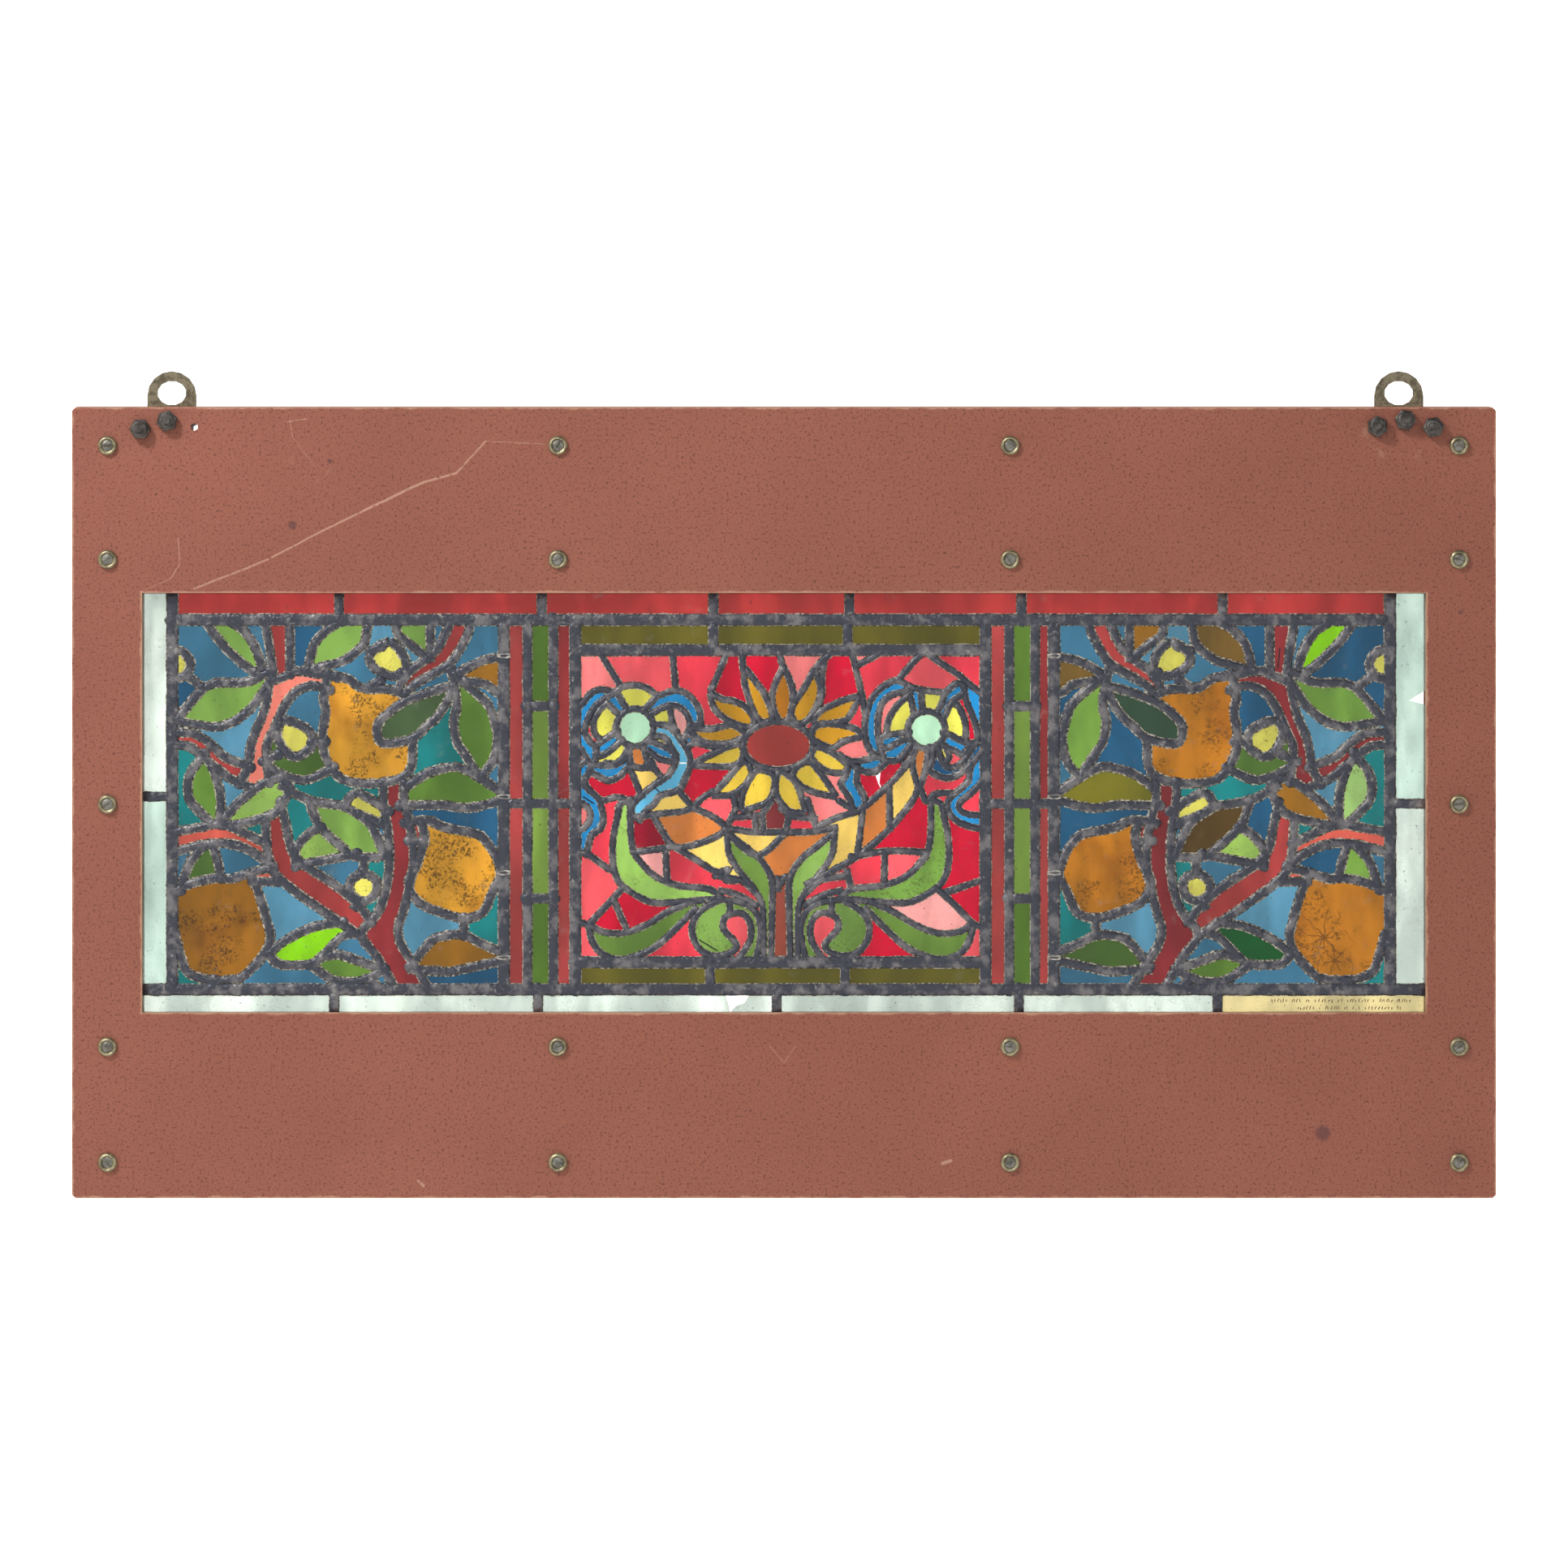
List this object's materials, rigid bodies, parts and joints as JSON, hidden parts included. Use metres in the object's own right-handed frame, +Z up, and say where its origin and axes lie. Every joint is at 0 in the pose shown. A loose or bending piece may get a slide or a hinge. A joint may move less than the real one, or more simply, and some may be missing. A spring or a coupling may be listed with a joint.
{
  "type": "stained glass window",
  "caption": "Framed leaded glass panel: fruiting branches either side of a sunflower, clamped between hardboard sheets and hung from metal eyes.",
  "frame": {"origin": "the point midway between the centres of the two hanging eyes, in the middle plane of their plates; it lies in the air above the top edge", "axes": "+Z up, the front of the window faces -Y, +X to the right as seen from the front"},
  "size_m": [0.9731, 0.0323, 0.5662],
  "materials": {
    "hardboard_front": "worn oiled hardboard with speckled fibres",
    "hardboard_filler": "hardboard edge",
    "hardboard_back": "oiled hardboard",
    "cup_and_screw_metal": "dull tarnished cup with a grey slotted screw",
    "bolt_steel": "dark dull steel",
    "eye_metal": "dull yellowish metal plate",
    "lead": "grey oxidised lead with soldered joints",
    "glass_rust": "rust red glass",
    "glass_straw": "straw yellow glass",
    "glass_pale": "pale greenish glass",
    "glass_olive": "olive glass",
    "glass_stile": "red and green glass columns",
    "glass_amber": "amber glass",
    "glass_dark_red": "dull dark red glass",
    "glass_red": "red glass",
    "glass_blue": "blue glass"
  },
  "bodies": {
    "root": {"front_board": "hardboard_front", "filler_board": "hardboard_filler", "back_board": "hardboard_back", "hanging_eye_left": "eye_metal", "hanging_eye_right": "eye_metal", "hanger_bolt_left_1": "bolt_steel", "hanger_bolt_left_2": "bolt_steel", "hanger_bolt_right_1": "bolt_steel", "hanger_bolt_right_2": "bolt_steel", "hanger_bolt_right_3": "bolt_steel", "cup_screw_top_1": "cup_and_screw_metal", "cup_screw_top_2": "cup_and_screw_metal", "cup_screw_top_3": "cup_and_screw_metal", "cup_screw_top_4": "cup_and_screw_metal", "cup_screw_upper_1": "cup_and_screw_metal", "cup_screw_upper_2": "cup_and_screw_metal", "cup_screw_upper_3": "cup_and_screw_metal", "cup_screw_upper_4": "cup_and_screw_metal", "cup_screw_middle_1": "cup_and_screw_metal", "cup_screw_middle_4": "cup_and_screw_metal", "cup_screw_lower_1": "cup_and_screw_metal", "cup_screw_lower_2": "cup_and_screw_metal", "cup_screw_lower_3": "cup_and_screw_metal", "cup_screw_lower_4": "cup_and_screw_metal", "cup_screw_bottom_1": "cup_and_screw_metal", "cup_screw_bottom_2": "cup_and_screw_metal", "cup_screw_bottom_3": "cup_and_screw_metal", "cup_screw_bottom_4": "cup_and_screw_metal", "leading": "lead", "picture_glass_left": "glass_blue", "picture_glass_centre": "glass_red", "picture_glass_right": "glass_blue", "fruit_glass_left_1": "glass_amber", "fruit_glass_left_2": "glass_amber", "fruit_glass_left_3": "glass_amber", "fruit_glass_right_1": "glass_amber", "fruit_glass_right_2": "glass_amber", "fruit_glass_right_3": "glass_amber", "sunflower_heart_glass": "glass_dark_red", "stile_glass_left": "glass_stile", "stile_glass_right": "glass_stile", "band_glass_top": "glass_olive", "band_glass_bottom": "glass_olive", "border_glass_top_1": "glass_rust", "border_glass_top_2": "glass_rust", "border_glass_top_3": "glass_rust", "border_glass_top_4": "glass_rust", "border_glass_top_5": "glass_rust", "border_glass_top_6": "glass_rust", "border_glass_top_7": "glass_rust", "border_glass_bottom_1": "glass_pale", "border_glass_bottom_2": "glass_pale", "border_glass_bottom_3": "glass_pale", "border_glass_bottom_4": "glass_pale", "border_glass_bottom_5": "glass_pale", "border_glass_bottom_6": "glass_straw", "border_glass_left_1": "glass_pale", "border_glass_left_2": "glass_pale", "border_glass_right_1": "glass_pale", "border_glass_right_2": "glass_pale"}
  },
  "joints": []
}
